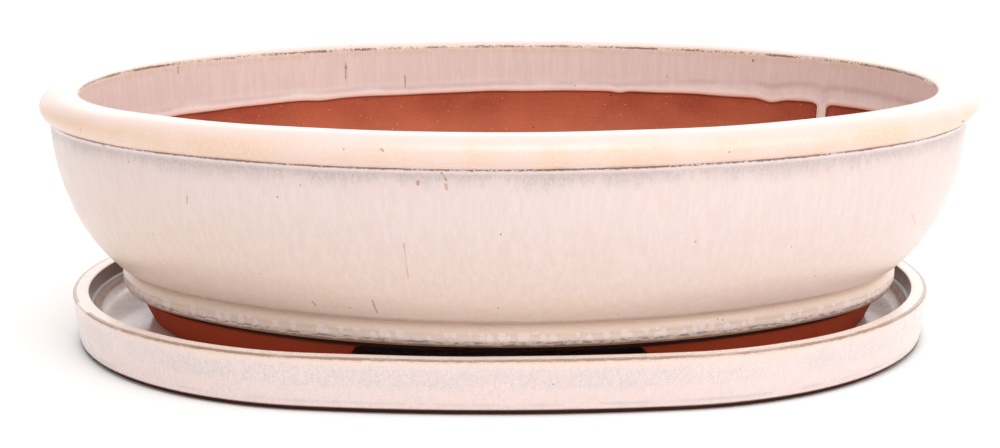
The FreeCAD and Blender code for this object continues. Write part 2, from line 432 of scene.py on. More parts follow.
def make_pot_glaze(oval):
    drip_places = [oval.nearest(point) for point, _, _ in DRIPS]
    runs = columns(oval, 1.2, drip_places)
    inner_clay_d, inner_d, inner_z, distance = inner_rows(oval, runs)

    # Over the rim and down the outside. The roll is a little lower and thinner here and there.
    outer = outer_curve(0.35, 1.2)[1:]
    normal = left_normals(outer)
    roll = smooth_step(outer[:, 1], 92, 98)[:, None]
    lowered = ROLL_SAG * (1 + oval.ripple(runs, (2, 3, 5, 9)))
    swollen = -ROLL_SWELL * (1 + oval.ripple(runs, (3, 4, 7, 11, 17)))
    outer_d = outer[:, :1] + roll * swollen * normal[:, :1]
    outer_z = outer[:, 1:] + roll * (swollen * normal[:, 1:] - lowered)
    inner_z = inner_z - smooth_step(inner_z, 92, 106) * lowered

    # The hidden back of the coat, from the band's bottom back to the inner edge.
    depth = GLAZE + GLAZE_SUNK
    back = (outer - depth * normal)[::-OUTER_BACK_STEP]
    inner_back_d = (inner_clay_d + depth)[::-INNER_BACK_STEP][:-1]
    inner_back_z = inner_z[::-INNER_BACK_STEP][:-1]

    offsets = np.vstack([inner_d, outer_d, every_column(back[:, :1], runs), inner_back_d])
    heights = np.vstack([inner_z, outer_z, every_column(back[:, 1:], runs), inner_back_z])
    hidden = len(back) + len(inner_back_d)
    values = pot_glaze_values(inner_z, distance, outer, hidden, len(runs))
    faces = ring_faces(len(offsets), len(runs), True)
    return mesh_object("glaze_coat", swept(oval, runs, offsets, heights), faces, values)


def make_pot_wall(oval):
    """The clay under the glaze, the bare inside and the seat of the feet.

    Its inside stands back by the coat's thickness, except near the floor.
    """
    runs = columns(oval, 2.4)
    inside = inner_curve(1.2)
    inside_depth = GLAZE * smooth_step(inside[:, 1], 34, 60)
    inside_section = np.column_stack([inside[:, 0] + inside_depth, inside[:, 1]])
    outer = outer_curve(0.8, 2.0)
    outer_section = outer - GLAZE * left_normals(outer)
    underside = joined(
        line(BAND_BOTTOM, (FOOT_OUTER_TOP, BAND_BOTTOM[1]), 3.0),
        line((FOOT_OUTER_TOP, BAND_BOTTOM[1]), (FOOT_OUTER_TOP, SEAT_Z), 1.5),
        line((FOOT_OUTER_TOP, SEAT_Z), (FLOOR_EDGE[0], SEAT_Z), 3.0),
        line((FLOOR_EDGE[0], SEAT_Z), FLOOR_EDGE, 3.0),
    )
    # The points nearest the corners are left out, so that the three stretches don't cross.
    section = np.vstack([outer_section[3:-2], underside, inside_section[::-1][1:-2]])
    offsets = every_column(section[:, :1], runs)
    heights = every_column(section[:, 1:], runs)

    # Shallow hollows that the potter's fingers left in the bare inside.
    hollow = 0.12 * oval.ripple(runs, (9, 14, 23, 37))
    bare = slice(-(len(inside) - 3), None)
    fade = smooth_step(heights[bare], 34, 44)
    offsets[bare] += fade * hollow * np.sin(heights[bare] / 5.0)
    faces = ring_faces(len(section), len(runs), True)
    return mesh_object("clay_wall", swept(oval, runs, offsets, heights), faces)


def make_pot_floor(oval):
    """Flat slab whose two drain holes have rounded edges."""
    top, bottom = FLOOR_EDGE[1], BAND_BOTTOM[1]
    runs = columns(oval, 4.0)
    side_z = every_column(np.linspace(bottom, top, 4)[:, None], runs)
    rings = [swept(oval, runs, np.full(side_z.shape, FLOOR_EDGE[0]), side_z)]
    sizes = [side_z.shape]

    quarter = np.linspace(0, math.pi / 2, 6)
    flare = DRAIN_RADIUS + DRAIN_ROUND * (1 - np.sin(quarter))
    inset = DRAIN_ROUND * (1 - np.cos(quarter))
    hole = np.vstack([np.column_stack([flare, bottom + inset]),
                      np.column_stack([flare, top - inset])[::-1]])
    angles = np.linspace(0, 2 * math.pi, 96, endpoint=False)
    for side in (-1, 1):
        x = side * DRAIN_X + hole[:, :1] * np.cos(angles)
        y = hole[:, :1] * np.sin(angles)
        rings.append(np.stack([x, y, every_column(hole[:, 1:], angles)], axis=-1).reshape(-1, 3))
        sizes.append((len(hole), len(angles)))

    faces = []
    low_loops = []
    high_loops = []
    begin = 0
    for rows, cols in sizes:
        faces += [[begin + i for i in quad] for quad in ring_faces(rows, cols, False)]
        low_loops.append([begin + i for i in range(cols)])
        high_loops.append([begin + (rows - 1) * cols + i for i in range(cols)])
        begin += rows * cols
    obj = mesh_object("floor_slab", np.vstack(rings), faces)
    fill_between(obj, low_loops)
    fill_between(obj, high_loops)
    return obj


def fill_between(obj, loops):
    """Closes the flat face between an outline and the holes in it. loops are lists of vertices."""
    bm = bmesh.new()
    bm.from_mesh(obj.data)
    bm.verts.ensure_lookup_table()
    edges = []
    for loop in loops:
        for a, b in zip(loop, loop[1:] + loop[:1]):
            edges.append(bm.edges.get((bm.verts[a], bm.verts[b])))
    filled = bmesh.ops.triangle_fill(bm, use_beauty=True, edges=edges)
    for face in filled["geom"]:
        if isinstance(face, bmesh.types.BMFace):
            face.smooth = False
    bmesh.ops.recalc_face_normals(bm, faces=bm.faces)
    bm.to_mesh(obj.data)
    bm.free()


def make_foot(node):
    """A foot cut from the clay ring: the CAD shape with its edges softened."""
    obj = frame["nodes"][node].copy()
    obj.data = obj.data.copy()
    obj.parent = None
    obj.name = node + "_clay"
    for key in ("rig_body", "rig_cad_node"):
        del obj[key]
    obj.data.materials.clear()
    bpy.context.scene.collection.objects.link(obj)
    remesh = obj.modifiers.new("remesh", "REMESH")
    remesh.mode = "VOXEL"
    remesh.voxel_size = FOOT_GRAIN * MM
    remesh.use_smooth_shade = True
    soften = obj.modifiers.new("soften", "SMOOTH")
    soften.factor = 0.5
    soften.iterations = 4
    return obj


# ---------------------------------------------------------------- saucer

def saucer_arris():
    """The middle of the rounding along the rim's outer edge."""
    tuck = SAUCER_EDGE * (1 - math.sqrt(0.5))
    return np.array([-tuck, SAUCER_TOP - tuck])


def saucer_curve(fine, coarse):
    """Glazed outline: out over the floor, up the cove and wall, over the rim and down."""
    rim_inner = -SAUCER_RIM_WIDTH
    wall_inner = rim_inner - SAUCER_RIM_LEAN
    cove_x = wall_inner - SAUCER_LEDGE_WIDTH
    cove_z = SAUCER_FLOOR_Z + SAUCER_COVE
    swing = SAUCER_COVE * math.sqrt(0.5)
    tuck = SAUCER_EDGE * (1 - math.sqrt(0.5))
    return joined(
        line((-30.0, SAUCER_FLOOR_Z), (cove_x - SAUCER_COVE, SAUCER_FLOOR_Z), coarse),
        arc((cove_x - SAUCER_COVE, SAUCER_FLOOR_Z),
            (cove_x - SAUCER_COVE + swing, cove_z - swing), (cove_x, cove_z), fine),
        line((cove_x, cove_z), (cove_x, SAUCER_LEDGE_Z - 0.4), fine),
        arc((cove_x, SAUCER_LEDGE_Z - 0.4), (cove_x + 0.12, SAUCER_LEDGE_Z - 0.12),
            (cove_x + 0.4, SAUCER_LEDGE_Z), 0.2),
        line((cove_x + 0.4, SAUCER_LEDGE_Z), (wall_inner, SAUCER_LEDGE_Z), 0.3),
        line((wall_inner, SAUCER_LEDGE_Z), (rim_inner, SAUCER_TOP - SAUCER_EDGE), coarse),
        arc((rim_inner, SAUCER_TOP - SAUCER_EDGE), (rim_inner + tuck, SAUCER_TOP - tuck),
            (rim_inner + SAUCER_EDGE, SAUCER_TOP), 0.25),
        line((rim_inner + SAUCER_EDGE, SAUCER_TOP), (-SAUCER_EDGE, SAUCER_TOP), fine),
        arc((-SAUCER_EDGE, SAUCER_TOP), (-tuck, SAUCER_TOP - tuck), (0, SAUCER_TOP - SAUCER_EDGE), 0.25),
        arc((0, SAUCER_TOP - SAUCER_EDGE), SAUCER_WALL_MIDDLE, SAUCER_WALL_BOTTOM, coarse),
    )


def shrunk(ring, middle, shares):
    """Copies of a level ring of vertices, each drawn in towards the middle by a share."""
    flat = np.array([1.0, 1.0, 0.0])
    return [middle * flat + (ring - middle) * (flat * share + (0, 0, 1)) for share in shares]


def saucer_sleeve(oval, runs, curve):
    """The swept part of the coat: its skin along the curve, and its back from the wall inwards."""
    normal = left_normals(curve)
    rim = smooth_step(curve[:, 1], 12, 21)[:, None]
    lowered = SAUCER_SAG * (1 + oval.ripple(runs, (2, 5, 8, 13)))
    swollen = -SAUCER_SWELL * (1 + oval.ripple(runs, (3, 7, 12, 19)))
    skin_d = curve[:, :1] + rim * swollen * normal[:, :1]
    skin_z = curve[:, 1:] + rim * (swollen * normal[:, 1:] - lowered)
    back = (curve - SAUCER_COAT * normal)[::-SAUCER_BACK_STEP]
    offsets = np.vstack([skin_d, every_column(back[:, :1], runs)])
    heights = np.vstack([skin_z, every_column(back[:, 1:], runs)])
    return swept(oval, runs, offsets, heights)


def make_saucer_glaze(oval):
    runs = columns(oval, 1.3)
    curve = saucer_curve(0.6, 1.2)
    sleeve = saucer_sleeve(oval, runs, curve)

    # The floor: rings that shrink to the middle on the coat's top and on its back.
    cols = len(runs)
    shares = np.linspace(1, 0, SAUCER_FLOOR_RINGS + 2)[1:-1]
    middle = np.array([oval.shift_x, 0.0, 0.0])
    top_rings = shrunk(sleeve[:cols], middle, shares)[::-1]
    back_rings = shrunk(sleeve[-cols:], middle, shares)
    centre_top = middle + (0, 0, SAUCER_FLOOR_Z)
    centre_back = middle + (0, 0, SAUCER_FLOOR_Z - SAUCER_COAT)
    vertices = np.vstack([centre_top[None]] + top_rings + [sleeve] + back_rings + [centre_back[None]])

    # Every ring joins the next one, from the middle of the top round to the middle of the back.
    ring_count = (len(vertices) - 2) // cols
    faces = [[1 + i for i in quad] for quad in ring_faces(ring_count, cols, False)]
    last_ring = 1 + (ring_count - 1) * cols
    for i in range(cols):
        j = (i + 1) % cols
        faces.append([0, 1 + i, 1 + j])
        faces.append([len(vertices) - 1, last_ring + j, last_ring + i])

    # Distance below the rim's outer arris, negative inside it.
    run = distance_along(curve)
    arris_at = run[np.argmin(np.hypot(*(curve - saucer_arris()).T))]
    arris = np.full(len(vertices), FAR)
    first_skin = 1 + len(top_rings) * cols
    arris[:first_skin] = -FAR
    arris[first_skin:first_skin + len(curve) * cols] = np.repeat(run - arris_at, cols)
    return mesh_object("saucer_coat", vertices, faces, {"arris": arris})


# ---------------------------------------------------------------- material nodes

class Graph:
    """A principled material and short calls for the nodes that feed it."""

    def __init__(self, name, **fixed):
        self.material = bpy.data.materials.new(name)
        self.material.use_nodes = True
        self.tree = self.material.node_tree
        self.shader = self.tree.nodes["Principled BSDF"]
        for key, value in fixed.items():
            self.shader.inputs[key.replace("_", " ")].default_value = value
        coordinates = self.tree.nodes.new("ShaderNodeTexCoord")
        self.object = coordinates.outputs["Object"]

    def put(self, value, socket):
        if isinstance(value, bpy.types.NodeSocket):
            self.tree.links.new(value, socket)
        else:
            socket.default_value = value

    def space(self, x=1.0, y=1.0, z=1.0):
        """Object coordinates in millimetres, stretched by these factors."""
        node = self.tree.nodes.new("ShaderNodeMapping")
        self.put(self.object, node.inputs["Vector"])
        node.inputs["Scale"].default_value = (x / MM, y / MM, z / MM)
        return node.outputs["Vector"]

    def split(self, vector):
        node = self.tree.nodes.new("ShaderNodeSeparateXYZ")
        self.put(vector, node.inputs[0])
        return node.outputs

    def value(self, attribute):
        node = self.tree.nodes.new("ShaderNodeAttribute")
        node.attribute_name = attribute
        return node.outputs["Fac"]

    def math(self, operation, a, b=0.0, c=0.0):
        node = self.tree.nodes.new("ShaderNodeMath")
        node.operation = operation
        for value, socket in zip((a, b, c), node.inputs):
            self.put(value, socket)
        return node.outputs[0]

    def vector(self, operation, a, b=(0, 0, 0), scale=None):
        node = self.tree.nodes.new("ShaderNodeVectorMath")
        node.operation = operation
        self.put(a, node.inputs[0])
        self.put(b, node.inputs[1])
        if scale is not None:
            self.put(scale, node.inputs["Scale"])
        return node.outputs["Value" if operation in ("LENGTH", "DOT_PRODUCT") else "Vector"]

    def noise(self, vector, scale, detail=2.0, roughness=0.5):
        node = self.tree.nodes.new("ShaderNodeTexNoise")
        self.put(vector, node.inputs["Vector"])
        node.inputs["Scale"].default_value = scale
        node.inputs["Detail"].default_value = detail
        node.inputs["Roughness"].default_value = roughness
        return node.outputs["Fac"]

    def cells(self, vector, scale, randomness=1.0):
        """Distance to the nearest cell point, in cell sizes, and the cell's random colour."""
        node = self.tree.nodes.new("ShaderNodeTexVoronoi")
        self.put(vector, node.inputs["Vector"])
        node.inputs["Scale"].default_value = scale
        node.inputs["Randomness"].default_value = randomness
        return node.outputs["Distance"], node.outputs["Color"]

    def ramp(self, value, low, high, out_low=0.0, out_high=1.0):
        """Smooth step of a value between two limits, in either direction."""
        node = self.tree.nodes.new("ShaderNodeMapRange")
        node.interpolation_type = "SMOOTHSTEP"
        self.put(value, node.inputs["Value"])
        self.put(low, node.inputs["From Min"])
        self.put(high, node.inputs["From Max"])
        node.inputs["To Min"].default_value = out_low
        node.inputs["To Max"].default_value = out_high
        return node.outputs["Result"]

    def window(self, value, low, high, soft):
        """One between two limits, falling to nothing over a soft distance outside them."""
        return self.math("MULTIPLY", self.ramp(value, low - soft, low), self.ramp(value, high + soft, high))

    def product(self, *values):
        total = values[0]
        for value in values[1:]:
            total = self.math("MULTIPLY", total, value)
        return total

    def mix(self, amount, a, b):
        node = self.tree.nodes.new("ShaderNodeMix")
        node.data_type = "RGBA"
        self.put(amount, node.inputs[0])
        self.put(a, node.inputs[6])
        self.put(b, node.inputs[7])
        return node.outputs[2]

    def bump(self, height, distance, strength=1.0, normal=None):
        node = self.tree.nodes.new("ShaderNodeBump")
        self.put(height, node.inputs["Height"])
        node.inputs["Distance"].default_value = distance * MM
        node.inputs["Strength"].default_value = strength
        if normal is not None:
            self.put(normal, node.inputs["Normal"])
        return node.outputs["Normal"]

    def specks(self, vector, scale, size, share):
        """Small round spots in a share of the cells."""
        distance, colour = self.cells(vector, scale)
        chosen = self.math("LESS_THAN", self.split(colour)[0], share)
        return self.math("MULTIPLY", chosen, self.ramp(distance, size, size * 0.5))

    def stroke(self, start, end, width, wobble=0.0):
        """Mask of a short line between two points given in millimetres."""
        here = self.vector("SUBTRACT", self.space(), start)
        way = np.subtract(end, start)
        share = self.vector("DOT_PRODUCT", here, tuple(way / np.dot(way, way)))
        share = self.math("MINIMUM", self.math("MAXIMUM", share, 0.0), 1.0)
        nearest = self.vector("SCALE", tuple(way), scale=share)
        away = self.vector("LENGTH", self.vector("SUBTRACT", here, nearest))
        if wobble:
            shake = self.math("MULTIPLY_ADD", self.noise(self.space(), 0.8), wobble, -wobble / 2)
            away = self.math("ADD", away, shake)
        return self.ramp(away, width, width * 0.4)


def srgb(red, green, blue):
    """Linear colour from an sRGB one in 0 to 255."""
    def linear(value):
        value /= 255
        return value / 12.92 if value <= 0.04045 else ((value + 0.055) / 1.055) ** 2.4
    return (linear(red), linear(green), linear(blue), 1.0)


PINK_WHITE = srgb(225, 204, 199)
FLECK = srgb(238, 220, 215)
TAN = srgb(226, 201, 184)
# The grey-blue under the roll is partly the glaze's own haze and partly painted shade.
HAZE_AND_SHADE = srgb(186, 172, 172)
PALE = srgb(238, 217, 213)
BROWN = srgb(112, 84, 72)
OCHRE = srgb(186, 146, 112)
RUST = (170, 116, 88)
GREY_BROWN = (140, 108, 96)

# Marks on the pot: start, end, half-width in millimetres and sRGB colour.
POT_MARKS = (
    ((-39.8, -152.4, 104.9), (-38.9, -152.6, 104.1), 0.55, RUST),
    ((-26.9, -150.4, 92.6), (-26.9, -150.2, 91.6), 0.75, RUST),
    ((-16.8, -151.2, 91.4), (-16.6, -151.1, 90.0), 0.8, (196, 146, 112)),
    ((-18.4, -151.8, 96.0), (-16.6, -151.3, 93.2), 0.5, GREY_BROWN),
    ((-32.7, -145.3, 68.8), (-31.8, -139.9, 54.9), 0.45, (198, 160, 140)),
    ((-46.3, -130.0, 43.5), (-45.1, -124.3, 37.1), 0.5, (176, 134, 112)),
    ((-70.1, -121.0, 40.7), (-68.9, -119.0, 38.3), 0.5, (170, 124, 100)),
    ((162.0, -78.7, 66.0), (165.1, -71.3, 60.3), 0.4, (214, 176, 164)),
    ((-116.4, -119.8, 81.0), (-116.8, -118.9, 78.1), 0.45, (186, 150, 134)),
    ((-84.2, 122.6, 100.2), (-84.3, 122.0, 92.6), 0.45, RUST),
    ((-84.2, 122.5, 98.4), (-84.2, 122.4, 97.6), 0.9, RUST),
    ((-55.4, 131.5, 92.5), (-55.5, 131.1, 86.8), 0.55, (166, 122, 98)),
    ((-157.9, 72.1, 105.0), (-157.9, 71.7, 102.0), 0.5, RUST),
    ((116.4, 106.7, 103.6), (116.4, 106.7, 102.9), 0.6, (70, 56, 58)),
    ((114.2, -123.7, 97.4), (119.4, -121.4, 97.2), 0.9, (196, 150, 122)),
    ((182.7, -65.1, 100.6), (190.4, -42.0, 98.4), 0.6, (150, 104, 84)),
    ((142.4, 85.1, 79.5), (142.4, 85.1, 78.9), 0.7, (60, 44, 42)),
)
SAUCER_MARKS = (
    ((-45.5, -136.0, 5.4), (-34.9, -136.8, 5.6), 0.45, (190, 150, 122)),
    ((107.9, -107.6, 14.6), (107.8, -107.4, 9.6), 0.7, (172, 160, 164)),
    ((46.4, -135.2, 7.4), (46.7, -135.0, 5.8), 0.35, (120, 92, 84)),
)


def pot_fields(g):
    """Positions, edge distances and noises that the layers of the pot's glaze share."""
    place = g.space()
    x, _, z = g.split(place)
    return SimpleNamespace(
        place=place,
        x=x,
        z=z,
        arris=g.value("arris"),
        lip=g.value("lip"),
        edge=g.value("edge"),
        wide=g.noise(place, 0.012, 2),
        patch=g.noise(place, 0.05, 3, 0.6),
        streak=g.noise(g.space(1, 1, 0.09), 0.42, 4, 0.65),
        fine_streak=g.noise(g.space(1, 1, 0.22), 1.15, 3, 0.6),
        grain=g.noise(place, 1.1, 3, 0.65),
        shake=g.noise(place, 0.35, 4, 0.7),
    )


def outer_wall(g, f):
    """Pink-white above, tan and cream towards the foot, with pale flecks that ran down."""
    height = g.math("ADD", f.z, g.math("MULTIPLY_ADD", f.patch, 26.0, -13.0))
    height = g.math("ADD", height, g.math("MULTIPLY", f.x, 0.08))
    wall = g.mix(g.ramp(height, 32, 84), TAN, PINK_WHITE)
    flecks = g.math("ADD", f.streak, g.math("MULTIPLY", f.grain, 0.5))
    wall = g.mix(g.product(g.ramp(flecks, 0.55, 1.0), 0.5), wall, FLECK)
    return g.mix(g.product(g.ramp(f.fine_streak, 0.55, 0.36), 0.3), wall, TAN)


def under_roll(g, f, wall):
    """A pale strip right under the roll, and below it a grey-blue haze that thins downwards: partly the
    glaze's own haze, partly painted shade under the roll.
    """
    reach = g.math("MULTIPLY_ADD", f.streak, 22.0, g.math("MULTIPLY_ADD", f.patch, 12.0, -8.0))
    below = g.product(g.ramp(f.arris, 0.8, 3.0), g.ramp(f.arris, reach, g.math("MULTIPLY", reach, 0.2)))
    dust = g.noise(g.space(1, 1, 0.6), 1.6, 3, 0.7)
    spread = g.math("MULTIPLY_ADD", g.ramp(dust, 0.62, 0.36), 0.55, 0.35)
    # Darkens the wall under the roll: partly a real grey-blue haze in the glaze, partly painted shade cast
    # by the roll.
    haze_and_shade = g.product(below, spread, g.ramp(f.patch, 0.2, 0.5, 0.45, 1.0))
    wall = g.mix(haze_and_shade, wall, HAZE_AND_SHADE)
    return g.mix(g.product(g.window(f.arris, 0.4, 1.2, 0.7), 0.7), wall, PALE)


def base_band(g, f):
    """Rounded band: a row of pale blotches, broken grey-blue dashes under them, an ochre hem."""
    wander = g.math("MULTIPLY_ADD", g.noise(f.place, 0.09, 2), 1.4, -0.7)
    level = g.math("ADD", f.z, wander)
    band = g.mix(g.product(g.ramp(f.grain, 0.35, 0.7), 0.5), srgb(238, 212, 193), srgb(246, 226, 212))
    band = g.mix(g.product(g.window(level, 25.6, 27.0, 0.9), 0.5), band, srgb(244, 222, 214))
    gap, colour = g.cells(g.space(1, 1, 0.6), 0.28)
    size = g.math("MULTIPLY_ADD", g.split(colour)[0], 0.2, 0.4)
    size = g.math("ADD", size, g.math("MULTIPLY_ADD", f.grain, 0.24, -0.12))
    row = g.window(level, 26.2, 28.8, 0.9)
    blotch = g.product(g.ramp(gap, size, g.math("SUBTRACT", size, 0.1)), row)
    band = g.mix(g.product(blotch, 0.8), band, srgb(252, 234, 230))
    broken = g.noise(g.space(0.35, 0.35, 1.0), 0.8, 3, 0.6)
    dash = g.product(g.window(level, 25.2, 25.8, 0.5), g.ramp(broken, 0.47, 0.56))
    band = g.mix(g.product(dash, 0.75), band, srgb(150, 144, 152))
    hem = g.ramp(g.math("ADD", level, g.math("MULTIPLY_ADD", f.shake, 2.4, -1.2)), 24.9, 24.1)
    return g.mix(g.product(hem, 0.85), band, srgb(160, 118, 84)), blotch


def rolled_rim(g, f):
    """Cream with yellower patches, paler on top."""
    yellow = g.ramp(g.math("ADD", f.patch, g.math("MULTIPLY", f.wide, 0.5)), 0.6, 0.9)
    rim = g.mix(yellow, srgb(238, 208, 193), srgb(236, 201, 174))
    rim = g.mix(g.ramp(f.grain, 0.45, 0.8), rim, FLECK)
    return g.mix(g.product(g.ramp(f.z, 103.5, 108.5), 0.7), rim, PALE)


def roll_arris(g, f, surface):
    """Brown where the glaze broke thin along the roll's lower arris, in an ochre halo."""
    near = g.math("ADD", f.arris, g.math("MULTIPLY_ADD", f.shake, 1.4, -0.7))
    halo = g.product(g.window(near, -1.2, 0.3, 0.9), g.ramp(f.patch, 0.4, 0.65), 0.4)
    surface = g.mix(halo, surface, OCHRE)
    broken = g.ramp(g.math("ADD", f.grain, g.math("MULTIPLY", f.patch, 0.6)), 0.6, 0.78)
    worn = g.product(g.window(near, -0.2, 0.4, 0.35), broken)
    return g.mix(g.product(worn, 0.9), surface, BROWN), worn


def inner_coat(g, f):
    """Inside the pot: faint streaks, a mauve line above the creamy bead, a brown thin edge."""
    inner = g.mix(g.ramp(f.streak, 0.38, 0.68), srgb(226, 211, 206), srgb(233, 219, 214))
    inner = g.mix(g.product(g.ramp(f.fine_streak, 0.55, 0.72), 0.4), inner, srgb(242, 228, 222))
    climb = g.ramp(f.x, 40.0, 150.0, 4.2, 8.8)
    wavy = g.math("ADD", f.edge, g.math("MULTIPLY_ADD", f.patch, 2.4, -1.2))
    from_line = g.math("ABSOLUTE", g.math("SUBTRACT", wavy, climb))
    line_strength = g.product(g.ramp(from_line, 2.4, 0.2), g.ramp(f.patch, 0.25, 0.6), 0.65)
    inner = g.mix(line_strength, inner, srgb(206, 186, 184))
    inner = g.mix(g.product(g.ramp(wavy, 4.2, 2.2), 0.85), inner, srgb(250, 236, 226))
    thin = g.ramp(g.math("ADD", f.edge, g.math("MULTIPLY", f.shake, 0.5)), 0.95, 0.45)
    return g.mix(g.product(thin, 0.9), inner, srgb(140, 96, 62))


def inner_arris(g, f, surface):
    """A thin dark line along the rim's inner arris, in a yellowish halo."""
    halo = g.product(g.window(f.lip, -0.5, 2.4, 2.0), g.ramp(f.shake, 0.35, 0.65), 0.55)
    surface = g.mix(halo, surface, srgb(226, 194, 158))
    near = g.math("ADD", f.lip, g.math("MULTIPLY_ADD", f.shake, 1.4, -0.7))
    broken = g.ramp(g.math("ADD", f.grain, f.patch), 0.85, 1.05)
    line_strength = g.product(g.window(near, -0.5, 0.35, 0.4), broken)
    return g.mix(g.product(line_strength, 0.85), surface, srgb(98, 72, 60))


def marked(g, surface, marks, strength):
    """The surface with its single marks: chips, pinholes and runs."""
    for start, end, width, colour in marks:
        surface = g.mix(g.product(g.stroke(start, end, width, 0.5), strength), surface, srgb(*colour))
    return surface


def pot_glaze_material():
    g = Graph("pot_glaze_cream", Coat_Weight=0.25, Coat_Roughness=0.22, Coat_IOR=1.45)
    f = pot_fields(g)
    wall = under_roll(g, f, outer_wall(g, f))
    seam = g.ramp(g.math("ADD", f.grain, f.patch), 0.75, 1.05)
    crease = g.product(g.window(f.z, 32.8, 34.0, 1.0), seam, 0.5)
    wall = g.mix(crease, wall, srgb(184, 172, 168))
    band, blotch = base_band(g, f)
    surface = g.mix(g.ramp(f.z, 33.6, 32.0), wall, band)
    surface = g.mix(g.ramp(f.arris, 0.3, -0.3), surface, rolled_rim(g, f))
    surface, worn = roll_arris(g, f, surface)
    surface = g.mix(g.ramp(f.lip, -0.6, 0.2), surface, inner_coat(g, f))
    surface = inner_arris(g, f, surface)
    surface = g.mix(g.product(g.specks(f.place, 0.11, 0.05, 0.5), 0.8), surface, srgb(96, 66, 50))
    long_specks = g.specks(g.space(1, 1, 0.45), 0.085, 0.06, 0.35)
    surface = g.mix(g.product(long_specks, 0.7), surface, srgb(190, 132, 98))
    surface = marked(g, surface, POT_MARKS, 0.75)

    g.put(surface, g.shader.inputs["Base Color"])
    g.put(g.ramp(g.math("ADD", f.grain, f.patch), 0.6, 1.4, 0.27, 0.46), g.shader.inputs["Roughness"])
    peel = g.bump(g.math("ADD", g.noise(f.place, 0.55, 2), g.math("MULTIPLY", f.fine_streak, 0.5)), 0.05)
    relief = g.bump(g.math("SUBTRACT", blotch, worn), 0.12, 1.0, peel)
    g.put(relief, g.shader.inputs["Normal"])
    return g.material


def saucer_wall(g, z, patch, grain, streak, shake):
    """Outside of the saucer: pink-white with a grey-blue cloud along its middle."""
    mottle = g.math("ADD", grain, g.math("MULTIPLY", streak, 0.4))
    wall = g.mix(g.ramp(mottle, 0.5, 0.95), srgb(232, 209, 202), srgb(240, 222, 219))
    wall = g.mix(g.product(g.ramp(z, 17.5, 21.5), 0.7), wall, srgb(238, 215, 196))
    wavy = g.math("ADD", z, g.math("MULTIPLY_ADD", patch, 6.0, -3.0))
    cloud = g.product(g.window(wavy, 12.5, 17.5, 3.0), g.ramp(mottle, 0.9, 0.5), g.ramp(patch, 0.25, 0.6))
    wall = g.mix(g.product(cloud, 0.6), wall, srgb(203, 196, 202))
    low_line = g.product(g.window(g.math("ADD", z, shake), 4.6, 5.2, 0.7), g.ramp(patch, 0.4, 0.6), 0.45)
    wall = g.mix(low_line, wall, srgb(196, 186, 188))
    return g.mix(g.ramp(z, 2.7, 2.1), wall, srgb(134, 88, 70))


def saucer_inside(g, place, z, patch, grain, streak):
    """Inner wall painted dark mauve-brown as shade from the pot above, a dark ledge, whitish cove, glossy
    mottled floor.
    """
    # Painted shade: the inner wall's dark mauve-brown stands for the shadow the pot casts into the saucer.
    inner = g.mix(g.ramp(streak, 0.35, 0.7), srgb(96, 62, 46), srgb(124, 86, 68))
    cove = g.mix(g.ramp(g.math("ADD", grain, patch), 0.8, 1.15), srgb(212, 188, 180), srgb(242, 226, 220))
    inner = g.mix(g.ramp(z, 15.2, 14.4), inner, cove)
    inner = g.mix(g.product(g.window(z, 14.9, 15.5, 0.4), 0.7), inner, srgb(110, 84, 74))
    floor = g.mix(g.ramp(g.noise(place, 0.06, 3, 0.6), 0.4, 0.65), srgb(248, 226, 220), srgb(253, 246, 244))
    floor = g.mix(g.product(g.ramp(grain, 0.5, 0.7), 0.5), floor, srgb(255, 250, 248))
    return g.mix(g.ramp(z, 9.6, 8.0), inner, floor)


def saucer_glaze_material():
    g = Graph("saucer_glaze_cream", Coat_Weight=0.6, Coat_Roughness=0.12, Coat_IOR=1.45)
    place = g.space()
    z = g.split(place)[2]
    arris = g.value("arris")
    patch = g.noise(place, 0.045, 3, 0.6)
    grain = g.noise(place, 1.6, 3, 0.65)
    streak = g.noise(g.space(1, 1, 0.3), 0.7, 3, 0.6)
    shake = g.noise(place, 0.4, 4, 0.7)
    inside = saucer_inside(g, place, z, patch, grain, streak)
    surface = g.mix(g.ramp(arris, -0.4, 0.4), inside, saucer_wall(g, z, patch, grain, streak, shake))
    top = g.mix(g.ramp(grain, 0.4, 0.7), srgb(250, 230, 216), srgb(254, 242, 236))
    surface = g.mix(g.window(arris, -SAUCER_RIM_WIDTH + 0.3, -0.4, 0.5), surface, top)

    # Rusty wear along the outer arris, missing over a short way near the left end.
    near = g.math("ADD", arris, g.math("MULTIPLY_ADD", shake, 1.6, -0.8))
    broken = g.ramp(g.math("ADD", grain, g.math("MULTIPLY", patch, 0.9)), 0.72, 1.0, 0.25, 1.0)
    to_gap = g.vector("LENGTH", g.vector("SUBTRACT", place, (-169.5, -59.0, 21.0)))
    kept = g.ramp(to_gap, 8.0, 12.0)
    surface = g.mix(g.product(g.window(near, 0.1, 1.0, 0.6), 0.35), surface, srgb(214, 184, 164))
    worn = g.product(g.window(near, -1.3, 0.3, 0.5), broken, kept)
    surface = g.mix(g.product(worn, 0.8), surface, srgb(136, 94, 78))

    surface = g.mix(g.product(g.specks(place, 0.1, 0.045, 0.45), 0.8), surface, srgb(96, 66, 52))
    surface = marked(g, surface, SAUCER_MARKS, 0.8)
    g.put(surface, g.shader.inputs["Base Color"])
    g.put(g.ramp(g.math("ADD", grain, patch), 0.6, 1.4, 0.2, 0.42), g.shader.inputs["Roughness"])
    peel = g.bump(g.noise(place, 0.5, 3), 0.06)
    g.put(g.bump(g.math("MULTIPLY", worn, -1.0), 0.15, 1.0, peel), g.shader.inputs["Normal"])
    return g.material


